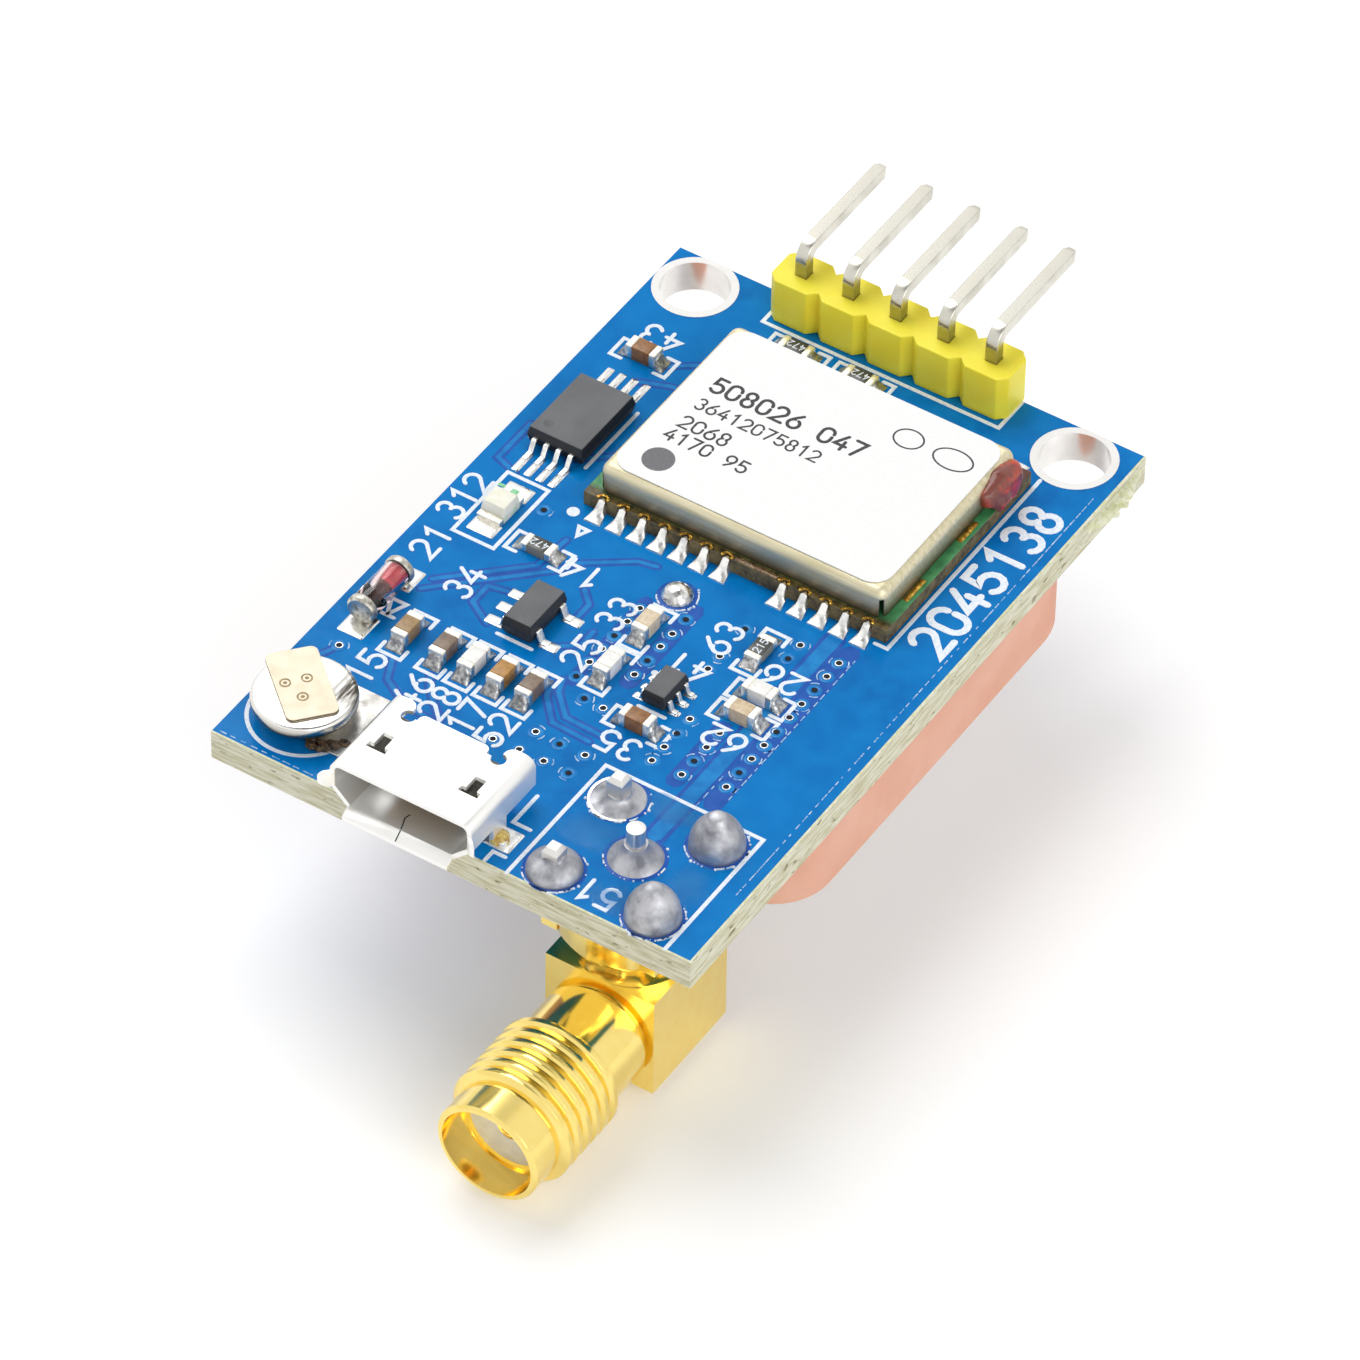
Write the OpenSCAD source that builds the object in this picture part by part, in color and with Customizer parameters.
// Satellite receiver board: a blue circuit board that carries a shielded receiver, a backup cell, a small
// USB socket, a right-angle pin header, an angled coaxial socket and a ceramic patch antenna below.
// Millimetres, +Z up. The board lies flat. The origin is on its top face, midway between the mounting holes.
// Places on the board are given on a layout grid that starts just inside the front left corner.

/* [Board] */
// Width of the board, left to right
board_w = 25; // [25:0.1:32]
// Length of the board, front to back
board_l = 37.6; // [37.6:0.1:46]
// Thickness of the board
board_t = 1.6; // [0.8:0.1:2.4]
// Finished diameter of the mounting holes
hole_d = 3.3; // [2.2:0.1:3.4]
// Diameter of the plated ring round each mounting hole
hole_ring_d = 4.05; // [3.8:0.05:4.2]
// Distance between the two mounting holes
hole_spacing = 20.35; // [19:0.05:20.6]
// Distance of the left mounting hole from the left edge
hole_side = 2.05; // [2:0.05:2.6]
// Distance of the mounting holes from the back edge
hole_back = 1.9; // [1.8:0.05:2.4]
// Thickness of the plating in the holes and on their rings
plating_t = 0.04; // [0.02:0.01:0.1]

/* [Receiver] */
// Width of the receiver's carrier board
receiver_w = 16; // [15.8:0.1:16.4]
// Length of the receiver's carrier board
receiver_l = 12.2; // [11.8:0.1:12.4]
// Thickness of the receiver's carrier board
carrier_t = 0.8; // [0.5:0.1:1.2]
// Distance between neighbouring solder pads
pad_pitch = 1.1; // [1:0.05:1.12]
// Distance of the first and last pads from the carrier's ends
pad_end = 1; // [0.9:0.05:1.2]
// Width of one solder pad
pad_w = 0.75; // [0.5:0.05:0.85]
// How far the solder runs out from the carrier's edge
solder_foot = 0.88; // [0.5:0.02:0.9]
// Distance of the shield's wall from the carrier's edge
shield_inset = 0.5; // [0.3:0.05:0.8]
// Height of the shield above the carrier
shield_h = 1.55; // [1.4:0.05:2.4]
// Thickness of the shield's sheet
shield_t = 0.15; // [0.1:0.05:0.25]
// Radius of the shield's folded edges
shield_r = 0.5; // [0.3:0.05:0.7]
// Thickness of the paper label
label_t = 0.06; // [0.04:0.02:0.12]

/* [Chip parts] */
// Length of a chip capacitor, resistor or coil
chip_l = 1.6; // [1.4:0.05:1.8]
// Width of a chip capacitor, resistor or coil
chip_w = 0.8; // [0.6:0.05:0.9]
// Height of a chip capacitor or coil
chip_h = 0.8; // [0.5:0.05:1]
// Height of a chip resistor
resistor_h = 0.5; // [0.35:0.05:0.6]
// Length of each metal end of a chip
chip_end = 0.35; // [0.2:0.05:0.5]

/* [Packages] */
// Width of the memory's moulded body, along the rows of leads
memory_w = 3; // [2.8:0.05:3.1]
// Length of the memory's moulded body, between the rows of leads
memory_l = 4.4; // [4:0.05:4.6]
// Top of the memory's body above the board
memory_h = 1.05; // [0.9:0.05:1.2]
// Width of the regulator's moulded body
regulator_w = 1.6; // [1.4:0.05:1.75]
// Length of the regulator's moulded body
regulator_l = 2.9; // [2.7:0.05:3.1]
// Top of the regulator's body above the board
regulator_h = 1.15; // [0.95:0.05:1.3]
// Width of the amplifier's moulded body
amplifier_w = 1.25; // [1.1:0.05:1.4]
// Length of the amplifier's moulded body
amplifier_l = 2; // [1.85:0.05:2.2]
// Top of the amplifier's body above the board
amplifier_h = 0.95; // [0.8:0.05:1.1]
// Thickness of the sheet the leads are cut from
lead_t = 0.13; // [0.1:0.01:0.18]

/* [Lamp and diode] */
// Length of the lamp, end to end
lamp_l = 2; // [1.6:0.05:2.2]
// Width of the lamp
lamp_w = 1.25; // [0.8:0.05:1.4]
// Thickness of the lamp's base
lamp_base_h = 0.35; // [0.25:0.05:0.5]
// Height of the lamp's clear block above its base
lamp_lens_h = 0.5; // [0.3:0.05:0.7]
// Length of the glass diode, end to end
diode_l = 3.4; // [3.2:0.05:3.7]
// Diameter of the diode's metal caps
diode_d = 1.45; // [1.3:0.05:1.6]
// Length of each metal cap
diode_cap_l = 0.42; // [0.3:0.02:0.55]

/* [Backup cell] */
// Diameter of the cell
cell_d = 4.8; // [4.4:0.05:4.9]
// Height of the cell between its tabs
cell_h = 1.33; // [1.1:0.01:1.7]
// Thickness of the welded tabs
tab_t = 0.12; // [0.08:0.02:0.2]
// Width of the upper tab
tab_w = 2.4; // [1.8:0.05:2.6]

/* [USB socket] */
// Width of the socket's shell
usb_w = 7.4; // [7.2:0.05:7.5]
// Height of the socket's shell
usb_h = 2.5; // [2.3:0.05:2.9]
// Length of the shell behind the mouth
usb_l = 4.1; // [3.8:0.05:4.3]
// How far the mouth stands out past the layout grid's front line
usb_overhang = 0.6; // [0.3:0.05:0.9]
// Thickness of the shell's sheet
usb_sheet = 0.25; // [0.2:0.01:0.3]

/* [Pin header] */
// Number of pins
pin_count = 5; // [2:1:5]
// Distance of the row of pins from the board's back edge
header_back = 0.6; // [0.45:0.05:0.8]
// Distance between pins
pin_pitch = 2.54; // [2.4:0.01:2.6]
// Thickness of the square pins
pin_t = 0.62; // [0.5:0.02:0.7]
// Height of the header's moulding
header_h = 2.5; // [2:0.05:3]
// Depth of the header's moulding, front to back
header_depth = 2.34; // [2.2:0.02:2.5]
// Height of the pins' level part, at its middle
pin_level = 3.95; // [3.8:0.05:5]
// Reach of the pins' level part behind the row of holes
pin_reach = 6.7; // [4:0.1:12]

/* [Coaxial socket] */
// Width of the socket's square block
coax_block_w = 5.65; // [5.2:0.05:6]
// Distance of the block's front face from the centre pin
coax_front = 2.77; // [2.5:0.01:2.9]
// Distance of the block's back face from the centre pin
coax_back = 3.1; // [2.7:0.05:3.4]
// Height of the block
coax_block_h = 5.65; // [5.4:0.05:6.2]
// Length of the neck between the board and the block
coax_neck_h = 3.6; // [2.6:0.05:4.4]
// Diameter of the smooth part of the barrel
coax_barrel_d = 5.2; // [5:0.05:5.4]
// Diameter over the crests of the thread
coax_thread_d = 6.1; // [5.9:0.05:6.4]
// Depth of the thread
coax_thread_depth = 0.38; // [0.2:0.02:0.42]
// Pitch of the thread
coax_pitch = 0.7; // [0.6:0.01:0.75]
// Number of thread crests
coax_turns = 6; // [3:1:8]
// Length of the smooth barrel behind the thread
coax_smooth_l = 2.9; // [2:0.1:4]
// Length of the plain nose in front of the thread
coax_nose_l = 1.75; // [1:0.05:2.5]
// Diameter of the mouth's bore
coax_bore_d = 4.6; // [4.3:0.05:4.7]
// Depth of the mouth down to the white insulator
coax_bore_depth = 1.8; // [1.4:0.1:3.2]
// Diameter of the white insulator
coax_insulator_d = 4.1; // [3.6:0.05:4.2]
// Distance between neighbouring legs
coax_leg_pitch = 5.08; // [4.9:0.02:5.2]
// Thickness of the square legs
coax_leg_t = 0.8; // [0.6:0.05:0.9]
// How far the legs stand up above the board
coax_leg_top = 1.5; // [1.2:0.05:2]
// Height of the centre pin above the board
coax_pin_top = 1.85; // [1.4:0.05:2.2]

/* [Patch antenna] */
// Side of the square ceramic block
antenna_side = 24; // [20:0.1:24.4]
// Thickness of the ceramic block
antenna_t = 4; // [2:0.1:6]
// Radius of the ceramic's upright corners
antenna_corner_r = 3; // [1:0.1:5]
// Side of the square silver patch
patch_side = 20.5; // [16:0.1:21]
// Thickness of the fired silver patch
patch_t = 0.05; // [0.02:0.01:0.1]
// Thickness of the adhesive tape under the board
tape_t = 0.1; // [0.05:0.05:0.4]
// Diameter of the feed pin
feed_d = 0.9; // [0.6:0.05:1]

/* [Hidden] */
$fn = 48;

// The layout grid starts this far in from the board's left and front edges
grid_inset = [0.1, 0.05];
hole_line = board_l - grid_inset.y - hole_back;
hole_xs = [hole_side - grid_inset.x, hole_side - grid_inset.x + hole_spacing];
hole_middle = (hole_xs[0] + hole_xs[1]) / 2;
// Gap round a round piece that is pressed or soldered into its hole
snug = 0.005;
// Reach of a cut past the face it opens
through = 1;
// Thickness of a slice that only shapes a hull
skin = 0.02;

receiver_place = [13.53, 27.05];
memory_place = [2.745, 25];
regulator_place = [7.85, 13.5];
amplifier_place = [15.2, 12.8];
lamp_place = [2.7, 18.5];
diode_place = [1.5, 10.8];
cell_place = [2.72, 3.09];
usb_x = 10.3;
header_x = 12.04;
header_y = board_l - grid_inset.y - header_back;
coax_place = [19.53, 3.87];
coax_drop = 8.38;
antenna_place = [12.6, 20.8];
feed_place = [12.25, 18.35];

// Chips lie at [x, y, turn]: turn 0 along X, turn 90 along Y
row_y = 9.65;
row_xs = [3.7, 5.7, 7.2, 8.75, 10.25];
row_places = [for (x = row_xs) [x, row_y, 90]];
feed_capacitor_place = [12.3, 15.85, 90];
bias_capacitor_place = [15.25, 10.55, 0];
amplifier_capacitor_place = [18.8, 13.5, 0];
memory_capacitor_place = [2.6, 30.4, 0];
capacitor_places = concat(row_places, [
    feed_capacitor_place, bias_capacitor_place, amplifier_capacitor_place, memory_capacitor_place
]);
feed_coil_place = [12.3, 12.75, 90];
amplifier_coil_place = [18.8, 14.95, 0];
// The two resistors by the header lie just behind the receiver's solder
resistor_clear = 0.09;
header_resistor_y = receiver_place.y + receiver_l / 2 + solder_foot + resistor_clear + chip_w / 2;
resistor_places = [
    [5.6, 17.3, 0], [17.25, 17.35, 90], [8.15, header_resistor_y, 0], [11.6, header_resistor_y, 0]
];

// Puts what is drawn on the layout grid into the part's own frame
module on_board() {
    translate([-hole_middle, -hole_line, 0]) children();
}

module at(place, z = 0) {
    translate([place.x, place.y, z]) children();
}

// A box with its corners cut off, standing on z = 0 and centred in plan
module chamfered_box(w, l, h, cut) {
    hull() {
        translate([-w / 2 + cut, -l / 2 + cut, 0]) cube([w - 2 * cut, l - 2 * cut, h]);
        translate([-w / 2, -l / 2 + cut, cut]) cube([w, l - 2 * cut, h - 2 * cut]);
        translate([-w / 2 + cut, -l / 2, cut]) cube([w - 2 * cut, l, h - 2 * cut]);
    }
}

module rounded_rectangle(w, l, r) {
    square([w - 2 * r, l], center = true);
    square([w, l - 2 * r], center = true);
    for (x = [-1, 1], y = [-1, 1]) {
        translate([x * (w / 2 - r), y * (l / 2 - r)]) circle(r);
    }
}

// A profile drawn in Y and Z, made into a strip that is centred on x = 0
module strip_across(width) {
    translate([-width / 2, 0, 0]) rotate([90, 0, 90]) linear_extrude(width) children();
}

// A solder cone with hollow flanks, its wide end at z = 0
module solder_cone(base_r, tip_r, h) {
    steps = 6;
    flank = [for (i = [0:steps]) [tip_r + (base_r - tip_r) * pow(1 - i / steps, 2), h * i / steps]];
    rotate_extrude() polygon(concat([[0, 0]], flank, [[0, h]]));
}

// A solder bell with full, rounded flanks, its wide end at z = 0
module solder_bell(base_r, tip_r, h) {
    steps = 8;
    swell = 2.4;
    crown_h = tip_r * 0.45;
    flank_h = h - crown_h;
    flank = [
        for (i = [0:steps]) [tip_r + (base_r - tip_r) * (1 - pow(i / steps, swell)), flank_h * i / steps]
    ];
    crown = [for (turn = [22.5:22.5:67.5]) [tip_r * cos(turn), flank_h + crown_h * sin(turn)]];
    rotate_extrude() polygon(concat([[0, 0]], flank, crown, [[0, h]]));
}

// Board

module drilled(d) {
    translate([0, 0, -board_t - through]) cylinder(d = d, h = board_t + 2 * through);
}

module board_blank(z, h) {
    translate([-grid_inset.x, -grid_inset.y, z]) cube([board_w, board_l, h]);
}

module circuit_board() {
    color("#1676bc") on_board() difference() {
        board_blank(-board_t, board_t);
        for (x = hole_xs) at([x, hole_line]) drilled(hole_d + 2 * plating_t + 2 * snug);
        for (i = [0:pin_count - 1]) at(pin_place(i)) drilled(pin_hole_d);
        for (leg = coax_legs) at(leg) drilled(coax_hole_d);
        at(coax_place) drilled(coax_hole_d);
        at(feed_place) drilled(feed_hole_d);
    }
}

// The rings are cut off flat where they meet the board's back edge
module hole_plating() {
    color("#d9dade") on_board() intersection() {
        board_blank(-board_t - plating_t, board_t + 2 * plating_t);
        for (x = hole_xs) at([x, hole_line]) difference() {
            union() {
                translate([0, 0, -board_t]) cylinder(d = hole_d + 2 * plating_t, h = board_t);
                cylinder(d = hole_ring_d, h = plating_t);
                translate([0, 0, -board_t - plating_t]) cylinder(d = hole_ring_d, h = plating_t);
            }
            drilled(hole_d);
        }
    }
}

// Receiver

pads_per_group = [7, 5];
pad_row = receiver_w - 2 * pad_end;
pad_xs = concat(
    [for (i = [0:pads_per_group[0] - 1]) i * pad_pitch - pad_row / 2],
    [for (i = [0:pads_per_group[1] - 1]) pad_row / 2 - i * pad_pitch]
);
castellation_r = 0.22;
shield_end_inset = shield_inset * 0.9;
shield_w = receiver_w - 2 * shield_inset;
shield_l = receiver_l - 2 * shield_end_inset;
shield_top = carrier_t + shield_h;
label_margin = 0.3;
label_r = 1;
slit_w = 0.22;
// Parts under the shield: place from the carrier's middle, set by its ends, and size
hidden_chip_at = [6 - receiver_w / 2, 0];
hidden_chip = [6, 6, 0.85];
hidden_filter_at = [receiver_w / 2 - 3.4, 3.5 - receiver_l / 2];
hidden_filter = [1.4, 1.1, 0.5];
hidden_oscillator_at = [receiver_w / 2 - 3.6, receiver_l / 2 - 4.5];
hidden_oscillator = [2.5, 2, 0.8];
hidden_cut = 0.06;
// The lacquer's drops: distance from the shield's wall and from the carrier's back end, height and radius
lacquer_drops = [
    [0.08, 3.15, 0.75, 0.5], [0.12, 2.2, 0.95, 0.62], [0.2, 1.35, 0.9, 0.55], [0.4, 1.7, 0.1, 0.4],
    [0.35, 2.6, 0.05, 0.35]
];

module receiver_carrier() {
    color("#3e8a4e") on_board() at(receiver_place) difference() {
        translate([-receiver_w / 2, -receiver_l / 2, 0]) cube([receiver_w, receiver_l, carrier_t]);
        for (x = pad_xs, side = [-1, 1]) {
            translate([x, side * receiver_l / 2, -through])
                cylinder(r = castellation_r, h = carrier_t + 2 * through);
        }
    }
}

// Each foot of solder climbs from its pad up the carrier's edge
module receiver_solder() {
    run = solder_foot;
    climb = carrier_t * 0.9;
    color("#e4e4e0") on_board() at(receiver_place) for (x = pad_xs, side = [0, 1]) {
        mirror([0, side, 0]) translate([x, -receiver_l / 2, 0]) strip_across(pad_w) polygon([
            [0, 0], [-run, 0], [-run * 0.94, climb * 0.14], [-run * 0.4, climb * 0.36],
            [-run * 0.14, climb * 0.8], [0, climb]
        ]);
    }
}

module can_blank(w, l, h, r) {
    hull() for (x = [-1, 1], y = [-1, 1]) translate([x * (w / 2 - r), y * (l / 2 - r), 0]) {
        cylinder(r = r, h = h - r, $fn = 24);
        translate([0, 0, h - r]) sphere(r, $fn = 24);
    }
}

// A folded can, open below, with a slit up each corner
module receiver_shield() {
    color("#cfc9ae") on_board() at(receiver_place, carrier_t) difference() {
        can_blank(shield_w, shield_l, shield_h, shield_r);
        translate([0, 0, -through]) can_blank(
            shield_w - 2 * shield_t,
            shield_l - 2 * shield_t,
            shield_h - shield_t + through,
            shield_r - shield_t
        );
        for (x = [-1, 1], y = [-1, 1]) {
            translate([x * shield_w / 2, y * shield_l / 2, 0]) rotate(-x * y * 45)
                translate([-slit_w / 2, -shield_r * 2, -through])
                cube([slit_w, shield_r * 4, shield_h - shield_r + through]);
        }
    }
}

module receiver_label() {
    color("#fdfdfd") on_board() at(receiver_place, shield_top) linear_extrude(label_t)
        rounded_rectangle(shield_w - 2 * label_margin, shield_l - 2 * label_margin, label_r);
}

module receiver_chip() {
    color("#303134") on_board() at(receiver_place + hidden_chip_at, carrier_t)
        chamfered_box(hidden_chip.x, hidden_chip.y, hidden_chip.z, hidden_cut);
}

module receiver_filter() {
    color("#c9b98a") on_board() at(receiver_place + hidden_filter_at, carrier_t)
        chamfered_box(hidden_filter.x, hidden_filter.y, hidden_filter.z, hidden_cut);
}

module receiver_oscillator() {
    color("#d8d4c4") on_board() at(receiver_place + hidden_oscillator_at, carrier_t)
        chamfered_box(hidden_oscillator.x, hidden_oscillator.y, hidden_oscillator.z, hidden_cut);
}

// A dab of red-brown lacquer that locks the shield to its carrier: it lies against the shield's right wall,
// near the back, and runs down over the carrier's edge
module lacquer_dab() {
    wall_x = shield_w / 2;
    color("#8e2a1a") on_board() at(receiver_place, carrier_t) difference() {
        hull() for (drop = lacquer_drops) {
            translate([wall_x + drop[0], receiver_l / 2 - drop[1], drop[2]]) sphere(drop[3], $fn = 20);
        }
        can_blank(shield_w, shield_l, shield_h, shield_r);
        translate([-receiver_w / 2, -receiver_l / 2, -carrier_t]) cube([receiver_w, receiver_l, carrier_t]);
        translate([-receiver_w, -receiver_l, -carrier_t - through])
            cube([2 * receiver_w, 2 * receiver_l, through]);
    }
}

// Moulded packages

// Clear height under a moulded body, and the level where its mould parts and its leads leave it
body_lift = 0.1;
body_draft = 0.1;
function parting(top) = (body_lift + top) / 2;

// A moulded body that is widest half way up
module moulded_body(w, l, top) {
    hull() {
        translate([-w / 2 + body_draft, -l / 2 + body_draft, body_lift])
            cube([w - 2 * body_draft, l - 2 * body_draft, top - body_lift]);
        translate([-w / 2, -l / 2, parting(top) - skin]) cube([w, l, 2 * skin]);
    }
}

// A bent lead that leaves the body's side at y = 0 and stands on the board at -reach
module gull_lead(width, leave_z, reach) {
    shoulder = reach * 0.22;
    heel = reach * 0.5;
    strip_across(width) polygon([
        [0, leave_z + lead_t / 2], [-shoulder, leave_z + lead_t / 2], [-heel, lead_t], [-reach, lead_t],
        [-reach, 0], [-heel + lead_t * 0.7, 0], [-shoulder + lead_t * 0.7, leave_z - lead_t / 2],
        [0, leave_z - lead_t / 2]
    ]);
}

memory_pitch = 0.65;
memory_lead_w = 0.25;
memory_reach = 1;
module memory_body() {
    color("#48494c") on_board() at(memory_place) moulded_body(memory_w, memory_l, memory_h);
}

module memory_leads() {
    color("#dcdcda") on_board() at(memory_place) for (i = [-1.5:1:1.5], turn = [0, 180]) {
        rotate(turn) translate([i * memory_pitch, -memory_l / 2, 0])
            gull_lead(memory_lead_w, parting(memory_h), memory_reach);
    }
}

regulator_pitch = 0.95;
regulator_lead_w = 0.38;
regulator_reach = 0.62;
module regulator_body() {
    color("#3a3b3e") on_board() at(regulator_place) moulded_body(regulator_w, regulator_l, regulator_h);
}

// Three leads on the left and two on the right
module regulator_leads() {
    color("#dcdcda") on_board() at(regulator_place) {
        for (i = [-1:1]) rotate(-90) translate([i * regulator_pitch, -regulator_w / 2, 0])
            gull_lead(regulator_lead_w, parting(regulator_h), regulator_reach);
        for (i = [-1, 1]) rotate(90) translate([i * regulator_pitch, -regulator_w / 2, 0])
            gull_lead(regulator_lead_w, parting(regulator_h), regulator_reach);
    }
}

amplifier_pitch = 0.65;
amplifier_lead_w = 0.24;
amplifier_reach = 0.45;
module amplifier_body() {
    color("#35363a") on_board() at(amplifier_place) moulded_body(amplifier_w, amplifier_l, amplifier_h);
}

module amplifier_leads() {
    color("#dcdcda") on_board() at(amplifier_place) for (i = [-1:1], turn = [-90, 90]) {
        rotate(turn) translate([i * amplifier_pitch, -amplifier_w / 2, 0])
            gull_lead(amplifier_lead_w, parting(amplifier_h), amplifier_reach);
    }
}

// Lamp and diode

module lamp_base() {
    between = lamp_l - 2 * chip_end;
    color("#e9e6d8") on_board() at(lamp_place) translate([-lamp_w / 2, -between / 2, 0])
        cube([lamp_w, between, lamp_base_h]);
}

// The clear block leans in at its sides and twice as far at its ends
lens_draft = 0.06;
module lamp_lens() {
    foot = [lamp_w, lamp_l - 2 * chip_end];
    top = foot - [2, 4] * lens_draft;
    color("#e7ecd6") on_board() at(lamp_place, lamp_base_h) hull() {
        translate([-foot.x / 2, -foot.y / 2, 0]) cube([foot.x, foot.y, skin]);
        translate([-top.x / 2, -top.y / 2, lamp_lens_h - skin]) cube([top.x, top.y, skin]);
    }
}

module lamp_ends() {
    color("#e0dfd6") on_board() at(lamp_place) for (side = [-1, 1]) {
        translate([0, side * (lamp_l - chip_end) / 2, 0])
            chamfered_box(lamp_w, chip_end, lamp_base_h, chip_cut / 2);
    }
}

// The glass is a little thinner than the caps
diode_glass_d = diode_d * 0.93;
diode_stud_d = 0.8;
diode_die_l = 0.3;
diode_inside = diode_l - 2 * diode_cap_l;

// Lays a turned piece along Y, with its middle at the diode's middle
module along_diode() {
    on_board() at(diode_place, diode_d / 2) rotate([90, 0, 0]) children();
}

module diode_glass() {
    color("#b5525a") along_diode() difference() {
        cylinder(d = diode_glass_d, h = diode_inside, center = true);
        cylinder(d = diode_stud_d + 2 * snug, h = diode_inside + 2 * through, center = true);
    }
}

module diode_caps() {
    edge = 0.1;
    color("#e2ded0") along_diode() for (side = [0, 1]) mirror([0, 0, side]) {
        translate([0, 0, diode_inside / 2]) rotate_extrude() polygon([
            [0, 0], [diode_d / 2, 0], [diode_d / 2, diode_cap_l - edge], [diode_d / 2 - edge, diode_cap_l],
            [0, diode_cap_l]
        ]);
    }
}

module diode_studs() {
    stud_l = (diode_inside - diode_die_l) / 2;
    color("#d8505a") along_diode() for (side = [0, 1]) mirror([0, 0, side]) {
        translate([0, 0, diode_die_l / 2]) cylinder(d = diode_stud_d, h = stud_l);
    }
}

module diode_die() {
    color("#3a2420") along_diode() cylinder(d = diode_stud_d, h = diode_die_l, center = true);
}

// Chip parts

chip_cut = 0.05;
end_proud = 0.015;

module at_chip(place) {
    on_board() translate([place[0], place[1], 0]) rotate(place[2]) children();
}

module chip_body(place, h) {
    body_l = chip_l - 2 * chip_end;
    at_chip(place) translate([-body_l / 2, -chip_w / 2 + end_proud, 0])
        cube([body_l, chip_w - 2 * end_proud, h - end_proud]);
}

module chip_ends(place, h) {
    at_chip(place) for (side = [-1, 1]) {
        translate([side * (chip_l - chip_end) / 2, 0, 0]) chamfered_box(chip_end, chip_w, h, chip_cut);
    }
}

module row_capacitor_1() { color("#a98c5b") chip_body(row_places[0], chip_h); }
module row_capacitor_2() { color("#8a7668") chip_body(row_places[1], chip_h); }
module row_capacitor_3() { color("#e4e0d6") chip_body(row_places[2], chip_h); }
module row_capacitor_4() { color("#b98d4a") chip_body(row_places[3], chip_h); }
module row_capacitor_5() { color("#8a7668") chip_body(row_places[4], chip_h); }
module feed_capacitor() { color("#e9dcc4") chip_body(feed_capacitor_place, chip_h); }
module bias_capacitor() { color("#8b5e2e") chip_body(bias_capacitor_place, chip_h); }
module amplifier_capacitor() { color("#d9c3a0") chip_body(amplifier_capacitor_place, chip_h); }
module memory_capacitor() { color("#8b5e2e") chip_body(memory_capacitor_place, chip_h); }

module capacitor_ends() {
    color("#dcdcd8") for (place = capacitor_places) chip_ends(place, chip_h);
}

module feed_coil() { color("#f2f1ec") chip_body(feed_coil_place, chip_h); }
module amplifier_coil() { color("#f2f1ec") chip_body(amplifier_coil_place, chip_h); }

module coil_ends() {
    color("#dcdcd8") for (place = [feed_coil_place, amplifier_coil_place]) chip_ends(place, chip_h);
}

module resistors() {
    color("#3c3c38") for (place = resistor_places) chip_body(place, resistor_h);
}

module resistor_ends() {
    color("#dcdcd8") for (place = resistor_places) chip_ends(place, resistor_h);
}

// Backup cell

cell_r = cell_d / 2;
cell_cap_h = cell_h * 0.45;
cell_gasket_h = 0.1;
cell_can_h = cell_h - cell_cap_h - cell_gasket_h;
cell_can_z = tab_t + cell_cap_h + cell_gasket_h;
cell_edge_r = 0.22;
// The can's lower edge is turned in, and the gasket and cap lie further in
cell_crimp = 0.12;
gasket_inset = 0.2;
cap_inset = [0.75, 0.5, 0.3];

// The can is the upper electrode, with a rounded rim
module cell_can() {
    steps = 5;
    rim = [for (i = [0:steps]) [
        cell_r - cell_edge_r + cell_edge_r * cos(90 * i / steps),
        cell_can_h - cell_edge_r + cell_edge_r * sin(90 * i / steps)
    ]];
    color("#e9e9e6") on_board() at(cell_place, cell_can_z) rotate_extrude()
        polygon(concat([[0, 0], [cell_r - cell_crimp, 0], [cell_r, cell_crimp]], rim, [[0, cell_can_h]]));
}

module cell_gasket() {
    color("#2a2a2c") on_board() at(cell_place, tab_t + cell_cap_h)
        cylinder(r = cell_r - gasket_inset, h = cell_gasket_h);
}

module cell_cap() {
    color("#cfcfca") on_board() at(cell_place, tab_t) rotate_extrude() polygon([
        [0, 0], [cell_r - cap_inset[0], 0], [cell_r - cap_inset[1], cell_cap_h * 0.4],
        [cell_r - cap_inset[2], cell_cap_h], [0, cell_cap_h]
    ]);
}

// The upper tab lies across the can, runs out to the back left and steps down to the board
tab_turn = 139;
tab_front = cell_r * 0.72;
tab_bend = cell_r + 0.15;
tab_leg_w = 1.3;
tab_foot = 0.35;
tab_corner_r = 0.35;
module cell_top_tab() {
    top = tab_t + cell_h;
    color("#f7f0dc") on_board() at(cell_place) rotate(tab_turn) {
        translate([(tab_bend - tab_front) / 2, 0, top]) linear_extrude(tab_t)
            rounded_rectangle(tab_front + tab_bend, tab_w, tab_corner_r);
        translate([tab_bend - tab_t, -tab_leg_w / 2, 0]) cube([tab_t, tab_leg_w, top + tab_t / 2]);
        translate([tab_bend - tab_t, -tab_leg_w / 2, 0]) cube([tab_foot + tab_t, tab_leg_w, tab_t]);
    }
}

// The lower tab lies flat on the board under the cell and spreads to the right of it
bottom_tab_neck = [2.6, 1.8];
bottom_tab_left = 1;
bottom_tab_right = 2.73;
bottom_tab_front = -1.4;
bottom_tab_l = 4.1;
module cell_bottom_tab() {
    color("#e6e2d8") on_board() at(cell_place) {
        translate([-bottom_tab_neck.x / 2, -bottom_tab_neck.y / 2, 0])
            cube([bottom_tab_neck.x, bottom_tab_neck.y, tab_t]);
        translate([bottom_tab_left, bottom_tab_front, 0])
            cube([bottom_tab_right - bottom_tab_left, bottom_tab_l, tab_t]);
    }
}

// USB socket

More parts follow.
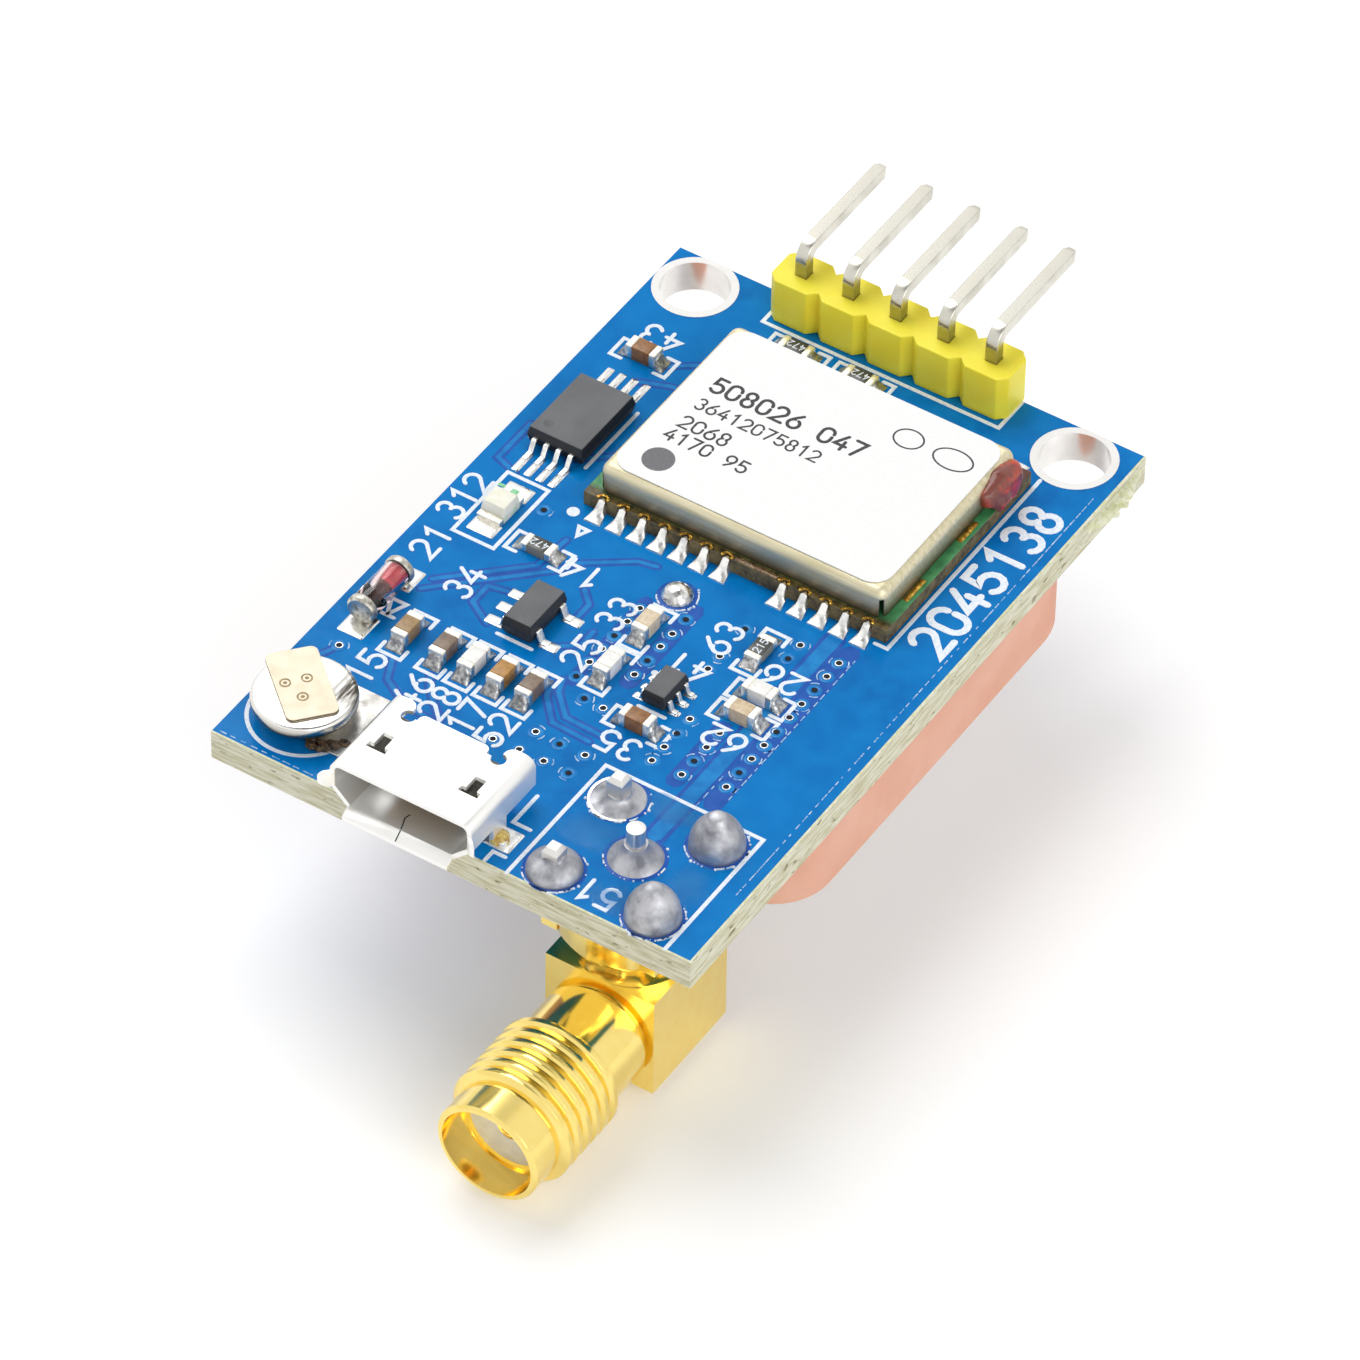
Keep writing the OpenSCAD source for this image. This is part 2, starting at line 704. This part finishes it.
usb_front = -usb_overhang;
usb_back = usb_front + usb_l;
usb_ear_l = 0.9;
usb_ear_w = 1.35;
usb_ear_z = usb_h * 0.3;
usb_bevel_w = 0.95;
usb_bevel_h = 0.95;
usb_top_r = 0.55;
usb_ear_r = 0.45;
usb_hook_r = 0.36;
usb_lip_l = 0.5;
usb_lip_flare = 0.28;
usb_flap_flare = 0.4;
usb_leg_y = 1.6;
usb_leg_w = 1;
usb_leg_reach = 0.75;
usb_slot_x = 2.4;
usb_slot_y = 1;
// A latch slot is a T: its stem and its cross-bar
usb_slot_stem = [0.56, 1.1];
usb_slot_bar = [1, 0.32];
usb_flap_clear = 0.1;
usb_flap_r = 0.28;
// The top sheet runs on behind between the ears
usb_tail_x = -0.1;
usb_tail_w = 3.6;
usb_tail_l = 0.42;
usb_tail_r = 0.3;

// The shell's outline seen from the front, drawn in by an inset on every side
module usb_profile(inset) {
    foot = usb_w / 2 - usb_bevel_w - inset * 0.4;
    side = usb_w / 2 - inset;
    hip = usb_bevel_h + inset * 0.4;
    fold = [usb_w / 2 - usb_top_r, usb_h - usb_top_r];
    polygon([
        [-foot, inset], [foot, inset], [side, hip], [side, fold.y], [fold.x, usb_h - inset],
        [-fold.x, usb_h - inset], [-side, fold.y], [-side, hip]
    ]);
    for (x = [-1, 1]) translate([x * fold.x, fold.y]) circle(usb_top_r - inset);
}

// The right ear seen from above, with its inner corner rounded
module usb_ear_plan() {
    tip = usb_back + usb_ear_l;
    inner = usb_w / 2 - usb_ear_w;
    translate([inner + usb_ear_r, 0]) square([usb_ear_w - usb_ear_r, tip]);
    translate([inner, 0]) square([usb_ear_w, tip - usb_ear_r]);
    translate([inner + usb_ear_r, tip - usb_ear_r]) circle(usb_ear_r);
}

// The right flap at the mouth: it turns outwards, and its outer corners are rounded
module usb_flap() {
    flap_z = usb_bevel_h + usb_flap_clear / 2;
    flap_h = usb_h - usb_top_r - usb_flap_clear / 2 - flap_z;
    tip = usb_front - usb_lip_l * 0.8;
    intersection() {
        translate([0, 0, flap_z]) linear_extrude(flap_h) polygon([
            [usb_w / 2 - usb_sheet, usb_front], [usb_w / 2, usb_front], [usb_w / 2 + usb_flap_flare, tip],
            [usb_w / 2 + usb_flap_flare - usb_sheet, tip]
        ]);
        translate([0, tip + through, flap_z + flap_h / 2]) rotate([90, 0, 90]) linear_extrude(usb_w)
            rounded_rectangle(2 * through, flap_h, usb_flap_r);
    }
}

module at_usb() {
    on_board() translate([usb_x, 0, 0]) children();
}

module usb_tube(from, to, inset) {
    translate([0, to, 0]) rotate([90, 0, 0]) linear_extrude(to - from) usb_profile(inset);
}

module usb_sleeve(from, to) {
    difference() {
        usb_tube(from, to, 0);
        usb_tube(from - through, to + through, usb_sheet);
    }
}

// A folded sleeve with a flared mouth, two ears and a tail with hooked cuts behind, latch slots on top and
// a leg each side
module usb_shell() {
    lip_w = usb_w - 2 * usb_bevel_w;
    color("#f1f1ee") at_usb() difference() {
        union() {
            usb_sleeve(usb_front, usb_back);
            intersection() {
                usb_sleeve(usb_back - through, usb_back + usb_ear_l);
                for (side = [0, 1]) mirror([side, 0, 0]) translate([0, 0, usb_ear_z])
                    linear_extrude(usb_h) usb_ear_plan();
            }
            intersection() {
                usb_sleeve(usb_back - through, usb_back + usb_tail_l);
                translate([usb_tail_x, usb_back, usb_h - usb_top_r]) linear_extrude(usb_top_r)
                    rounded_rectangle(usb_tail_w, 2 * usb_tail_l, usb_tail_r);
            }
            strip_across(lip_w) polygon([
                [usb_front, 0], [usb_front - usb_lip_l, -usb_lip_flare],
                [usb_front - usb_lip_l, usb_sheet - usb_lip_flare], [usb_front, usb_sheet]
            ]);
            for (side = [0, 1]) mirror([side, 0, 0]) {
                usb_flap();
                translate([usb_w / 2 - usb_sheet, usb_leg_y - usb_leg_w / 2, 0])
                    cube([usb_sheet, usb_leg_w, usb_bevel_h + 2 * usb_sheet]);
                translate([usb_w / 2 - usb_sheet, usb_leg_y - usb_leg_w / 2, 0])
                    cube([usb_leg_reach, usb_leg_w, usb_sheet]);
            }
        }
        for (side = [-1, 1]) {
            translate([side * (usb_w / 2 - usb_ear_w), usb_back, usb_h - usb_sheet - usb_flap_clear])
                cylinder(r = usb_hook_r, h = through);
        }
        for (side = [-1, 1], slot = [usb_slot_stem, usb_slot_bar]) {
            translate([side * usb_slot_x - slot.x / 2, usb_slot_y, usb_h - usb_sheet - usb_flap_clear])
                cube([slot.x, slot.y, through]);
        }
    }
}

tongue_w = 3.7;
tongue_t = 0.6;
tongue_z = usb_h - 2 * usb_sheet - tongue_t;
tongue_front = usb_front + 0.8;
contact_inset = 0.15;
contact_step = 0.12;
tongue_block_l = 1.3;
contact_w = 0.3;
contact_t = 0.1;
contact_pitch = 0.65;
contact_xs = [for (i = [-2:2]) i * contact_pitch];

// The five contacts lie under the tongue, pass through its block and step down to the board behind
module usb_contact_strips(slack) {
    back = usb_back + contact_step;
    tail = usb_back + usb_ear_l;
    for (x = contact_xs) translate([x, 0, 0]) strip_across(contact_w + 2 * slack) polygon([
        [tongue_front + contact_inset - slack, tongue_z], [back + contact_t, tongue_z],
        [back + contact_t, contact_t], [tail, contact_t], [tail, 0], [back, 0],
        [back, tongue_z - contact_t - slack],
        [tongue_front + contact_inset - slack, tongue_z - contact_t - slack]
    ]);
}

module usb_tongue() {
    color("#2e2e30") at_usb() difference() {
        union() {
            usb_tube(usb_back - tongue_block_l, usb_back, usb_sheet + snug);
            translate([-tongue_w / 2, tongue_front, tongue_z])
                cube([tongue_w, usb_back - tongue_front - tongue_block_l / 2, tongue_t]);
        }
        usb_contact_strips(snug);
    }
}

module usb_contacts() {
    color("#e3c25a") at_usb() usb_contact_strips(0);
}

// Pin header

pin_hole_d = 1;
header_cut = 0.42;
pin_bend_r = 0.35;
pin_tail = 1.2;
pin_tip = 0.35;
header_joint_r = 0.8;
// The cones stay inside the board's back edge
header_cone_r = min(header_joint_r, header_back);
function pin_place(i) = [header_x + (i - (pin_count - 1) / 2) * pin_pitch, header_y];

// One moulding of eight-sided units, one round each pin
module header_housing() {
    half = pin_pitch / 2;
    deep = header_depth / 2;
    color("#f2dc28") on_board() difference() {
        for (i = [0:pin_count - 1]) at(pin_place(i)) linear_extrude(header_h) polygon([
            [-half, -deep + header_cut], [-half + header_cut, -deep], [half - header_cut, -deep],
            [half, -deep + header_cut], [half, deep - header_cut], [half - header_cut, deep],
            [-half + header_cut, deep], [-half, deep - header_cut]
        ]);
        for (i = [0:pin_count - 1]) at(pin_place(i), -through)
            translate([-pin_t / 2, -pin_t / 2, 0]) cube([pin_t, pin_t, header_h + 2 * through]);
    }
}

// A square pin from its tail below the board up through the moulding, bent level towards the back
module bent_pin() {
    half = pin_t / 2;
    bend_z = pin_level - half - pin_bend_r;
    translate([-half, -half, -board_t - pin_tail]) cube([pin_t, pin_t, board_t + pin_tail + bend_z]);
    translate([-half, half + pin_bend_r, bend_z]) rotate([90, 0, 90]) pin_bend();
    translate([-half, half + pin_bend_r, pin_level - half])
        cube([pin_t, pin_reach - half - pin_bend_r - pin_tip, pin_t]);
    translate([0, pin_reach - pin_tip, pin_level]) rotate([-90, 0, 0]) linear_extrude(pin_tip, scale = 0.55)
        square(pin_t, center = true);
}

// The quarter turn of a pin, with its centre at the origin
module pin_bend() {
    rotate(90) rotate_extrude(angle = 90) translate([pin_bend_r, 0]) square(pin_t);
}

module header_pins() {
    color("#dad8cf") on_board() for (i = [0:pin_count - 1]) at(pin_place(i)) bent_pin();
}

// Solder fills each hole and makes a cone round the tail below the board
module header_solder() {
    color("#b5b6bc") on_board() for (i = [0:pin_count - 1]) at(pin_place(i)) difference() {
        union() {
            translate([0, 0, -board_t]) cylinder(d = pin_hole_d - 2 * snug, h = board_t);
            translate([0, 0, -board_t]) mirror([0, 0, 1])
                solder_cone(header_cone_r, pin_t * 0.6, pin_tail * 0.75);
        }
        translate([-pin_t / 2, -pin_t / 2, -board_t - 2 * pin_tail])
            cube([pin_t, pin_t, board_t + 3 * pin_tail]);
    }
}

// Coaxial socket

coax_legs = [for (x = [-1, 1], y = [-1, 1]) coax_place + [x, y] * coax_leg_pitch / 2];
coax_hole_d = 1.3;
coax_pin_d = 0.86;
coax_contact_d = 1.27;
coax_socket_d = 0.95;
coax_thread_l = coax_turns * coax_pitch;
coax_barrel_l = coax_smooth_l + coax_thread_l + coax_nose_l;
coax_nose_d = coax_barrel_d;
coax_block_top = -board_t - coax_neck_h;
coax_neck_r = coax_block_w * 0.49;
coax_flange_r = coax_leg_pitch / sqrt(2);
coax_pin_bore_d = 2.4;
coax_core_end = coax_contact_d;
coax_joint_r = 1.27;
// The barrel and neck run this far into the block
coax_root = 0.5;
// The groove at the barrel's root takes a share of the wall round the insulator
coax_groove = [(coax_barrel_d - coax_insulator_d) / 2 * 0.55, 0.2];
coax_groove_bevel = 0.1;
coax_nose_bevel = 0.12;
// The legs start inside the flange and end in a short taper
coax_leg_root = coax_neck_h * 0.45;
coax_leg_tip = coax_leg_t / 3;
coax_leg_taper = 0.6;

// Turns a piece so that its z = 0 lies on the block's front face and +Z runs out along the barrel
module along_barrel() {
    on_board() translate([coax_place.x, coax_place.y - coax_front, -coax_drop]) rotate([90, 0, 0]) children();
}

// The barrel's outline as [radius, distance from the block]: groove, smooth part, thread crests and nose
function coax_outline() = concat(
    [[0, -coax_root], [coax_barrel_d / 2 - coax_groove[0], -coax_root],
     [coax_barrel_d / 2 - coax_groove[0], coax_groove[1]],
     [coax_barrel_d / 2, coax_groove[1] + coax_groove_bevel],
     [coax_barrel_d / 2, coax_smooth_l]],
    [for (i = [0:coax_turns - 1], p = [[1, 0], [0.4, 0.12], [0, 0.32], [0, 0.68], [0.4, 0.88], [1, 1]]) [
        coax_thread_d / 2 - p[0] * coax_thread_depth, coax_smooth_l + (i + p[1]) * coax_pitch
    ]],
    [[coax_nose_d / 2, coax_barrel_l - coax_nose_l], [coax_nose_d / 2, coax_barrel_l - coax_nose_bevel],
     [coax_nose_d / 2 - coax_nose_bevel, coax_barrel_l], [0, coax_barrel_l]]
);

// A square leg from inside the flange up through the board
module coax_leg() {
    translate([-coax_leg_t / 2, -coax_leg_t / 2, -board_t - coax_leg_root])
        cube([coax_leg_t, coax_leg_t, board_t + coax_leg_root + coax_leg_top - coax_leg_tip]);
    translate([0, 0, coax_leg_top - coax_leg_tip])
        linear_extrude(coax_leg_tip, scale = coax_leg_taper) square(coax_leg_t, center = true);
}

// A gold-plated block with a threaded barrel in front and a flared neck with four legs on top
module coax_body() {
    half = coax_block_w / 2;
    core_l = coax_barrel_l - coax_bore_depth + coax_front + coax_core_end;
    color("#f3cf4c") difference() {
        union() {
            on_board() at(coax_place) {
                translate([-half, -coax_front, coax_block_top - coax_block_h])
                    cube([coax_block_w, coax_front + coax_back, coax_block_h]);
                translate([0, 0, coax_block_top]) rotate_extrude() polygon([
                    [0, -coax_root], [coax_neck_r, -coax_root], [coax_neck_r, 0],
                    [coax_neck_r + (coax_flange_r - coax_neck_r) * 0.3, coax_neck_h * 0.25],
                    [coax_flange_r, coax_neck_h * 0.55], [coax_flange_r, coax_neck_h], [0, coax_neck_h]
                ]);
            }
            on_board() for (leg = coax_legs) at(leg) coax_leg();
            along_barrel() rotate_extrude() polygon(coax_outline());
        }
        along_barrel() {
            translate([0, 0, coax_barrel_l - coax_bore_depth])
                cylinder(d = coax_bore_d, h = coax_bore_depth + through);
            translate([0, 0, coax_barrel_l - coax_bore_depth - core_l])
                cylinder(d = coax_insulator_d, h = core_l + through / 2);
        }
        on_board() at(coax_place, -coax_drop)
            cylinder(d = coax_pin_bore_d, h = coax_drop - board_t + through);
    }
}

// The centre contact: a socket along the barrel and a pin up through the board
module coax_contact_blank(slack) {
    back = coax_front + coax_contact_d / 2;
    along_barrel() translate([0, 0, -back])
        cylinder(d = coax_contact_d + 2 * slack, h = coax_barrel_l - coax_bore_depth + back);
    on_board() at(coax_place, -coax_drop)
        cylinder(d = coax_pin_d + 2 * slack, h = coax_drop + coax_pin_top);
}

module coax_insulator() {
    core_l = coax_barrel_l - coax_bore_depth + coax_front + coax_core_end;
    color("#f4f1e6") difference() {
        union() {
            along_barrel() translate([0, 0, coax_barrel_l - coax_bore_depth - core_l])
                cylinder(d = coax_insulator_d - 2 * snug, h = core_l);
            on_board() at(coax_place, -coax_drop)
                cylinder(d = coax_pin_bore_d - 2 * snug, h = coax_drop - board_t);
        }
        coax_contact_blank(snug);
        along_barrel() translate([0, 0, -coax_front - coax_contact_d / 2 - snug])
            cylinder(d = coax_contact_d + 2 * snug, h = coax_barrel_l + coax_front + coax_contact_d);
    }
}

module coax_contact() {
    socket_l = 2;
    color("#e8c65a") difference() {
        coax_contact_blank(0);
        along_barrel() translate([0, 0, coax_barrel_l - coax_bore_depth - socket_l])
            cylinder(d = coax_socket_d, h = socket_l + through);
    }
}

// Solder fills each hole. On the legs it stands in a bell at the front left, a low collar that leaves the leg
// bare at the back left, and two taller bullets that cover the legs on the right.
coax_bell_h = coax_leg_top * 0.7;
coax_collar_h = coax_leg_top * 0.34;
coax_bullet_h = coax_leg_top * 1.3;
coax_cone_h = coax_pin_top * 0.5;
coax_bell_tip_r = coax_leg_t * 0.65;
coax_bullet_tip_r = coax_leg_t * 0.52;
coax_collar_tip_r = coax_leg_t * 0.66;
module coax_solder() {
    color("#b5b6bc") on_board() {
        for (i = [0:len(coax_legs) - 1]) at(coax_legs[i]) difference() {
            union() {
                translate([0, 0, -board_t]) cylinder(d = coax_hole_d - 2 * snug, h = board_t);
                if (i == 0) solder_bell(coax_joint_r, coax_bell_tip_r, coax_bell_h);
                else if (i == 1) solder_cone(coax_joint_r, coax_collar_tip_r, coax_collar_h);
                else solder_bell(coax_joint_r, coax_bullet_tip_r, coax_bullet_h);
            }
            coax_leg();
        }
        at(coax_place) difference() {
            union() {
                translate([0, 0, -board_t]) cylinder(d = coax_hole_d - 2 * snug, h = board_t);
                solder_cone(coax_joint_r, coax_pin_d * 0.62, coax_cone_h);
            }
            translate([0, 0, -board_t - through])
                cylinder(d = coax_pin_d + 2 * snug, h = board_t + coax_pin_top + 2 * through);
        }
    }
}

// Patch antenna

feed_hole_d = feed_d + 0.2;
feed_head_d = 2.2;
feed_head_h = 0.35;
feed_top = 0.35;
feed_joint_r = 0.78;
feed_joint_h = 0.62;
tape_margin = 0.6;
ceramic_top = -board_t - tape_t;
ceramic_bottom = ceramic_top - antenna_t;
ceramic_edge = 0.35;
ceramic_steps = [ceramic_edge * 0.6, ceramic_edge * 0.15];

module feed_clear(slack) {
    on_board() at(feed_place, ceramic_bottom - through)
        cylinder(d = feed_d + 2 * slack, h = antenna_t + tape_t + 2 * through);
}

module antenna_tape() {
    side = antenna_side - 2 * tape_margin;
    color("#f0efe9") difference() {
        on_board() at(antenna_place, -board_t - tape_t) linear_extrude(tape_t)
            rounded_rectangle(side, side, antenna_corner_r);
        feed_clear(snug);
    }
}

// The block's lower edge is broken by a small bevel
module antenna_ceramic() {
    color("#ebb398") difference() {
        on_board() at(antenna_place, ceramic_bottom) {
            translate([0, 0, ceramic_edge]) linear_extrude(antenna_t - ceramic_edge)
                rounded_rectangle(antenna_side, antenna_side, antenna_corner_r);
            for (i = [0:1]) translate([0, 0, i * ceramic_edge / 2]) linear_extrude(ceramic_edge / 2)
                rounded_rectangle(
                    antenna_side - 2 * ceramic_steps[i], antenna_side - 2 * ceramic_steps[i],
                    antenna_corner_r - ceramic_steps[i]
                );
        }
        feed_clear(snug);
    }
}

// The silver patch has two corners cut off, as tuned patches have
module antenna_patch() {
    half = patch_side / 2;
    trim = patch_side * 0.12;
    color("#d5d5d2") difference() {
        on_board() at(antenna_place, ceramic_bottom - patch_t) linear_extrude(patch_t) polygon([
            [-half, -half], [half - trim, -half], [half, -half + trim], [half, half], [-half + trim, half],
            [-half, half - trim]
        ]);
        feed_clear(snug);
    }
}

// The feed pin has a flat soldered head on the patch and runs up through the ceramic and the board
module antenna_feed_pin() {
    head_z = ceramic_bottom - patch_t - feed_head_h;
    color("#d9d9d5") on_board() at(feed_place) {
        translate([0, 0, head_z]) rotate_extrude() polygon([
            [0, 0], [feed_head_d * 0.3, 0], [feed_head_d * 0.45, feed_head_h * 0.4],
            [feed_head_d / 2, feed_head_h], [0, feed_head_h]
        ]);
        translate([0, 0, head_z]) cylinder(d = feed_d, h = feed_top - head_z);
    }
}

module antenna_feed_solder() {
    dome_r = (feed_joint_r * feed_joint_r + feed_joint_h * feed_joint_h) / (2 * feed_joint_h);
    color("#c9cacd") on_board() at(feed_place) difference() {
        union() {
            translate([0, 0, -board_t]) cylinder(d = feed_hole_d - 2 * snug, h = board_t);
            intersection() {
                translate([0, 0, feed_joint_h - dome_r]) sphere(dome_r);
                translate([-dome_r, -dome_r, 0]) cube(2 * dome_r);
            }
        }
        translate([0, 0, -board_t - through])
            cylinder(d = feed_d + 2 * snug, h = board_t + through + feed_top + snug);
    }
}

circuit_board();
hole_plating();
receiver_carrier();
receiver_solder();
receiver_shield();
receiver_label();
receiver_chip();
receiver_filter();
receiver_oscillator();
lacquer_dab();
memory_body();
memory_leads();
regulator_body();
regulator_leads();
amplifier_body();
amplifier_leads();
lamp_base();
lamp_lens();
lamp_ends();
diode_glass();
diode_caps();
diode_studs();
diode_die();
row_capacitor_1();
row_capacitor_2();
row_capacitor_3();
row_capacitor_4();
row_capacitor_5();
feed_capacitor();
bias_capacitor();
amplifier_capacitor();
memory_capacitor();
capacitor_ends();
feed_coil();
amplifier_coil();
coil_ends();
resistors();
resistor_ends();
cell_can();
cell_gasket();
cell_cap();
cell_top_tab();
cell_bottom_tab();
usb_shell();
usb_tongue();
usb_contacts();
header_housing();
header_pins();
header_solder();
coax_body();
coax_insulator();
coax_contact();
coax_solder();
antenna_tape();
antenna_ceramic();
antenna_patch();
antenna_feed_pin();
antenna_feed_solder();
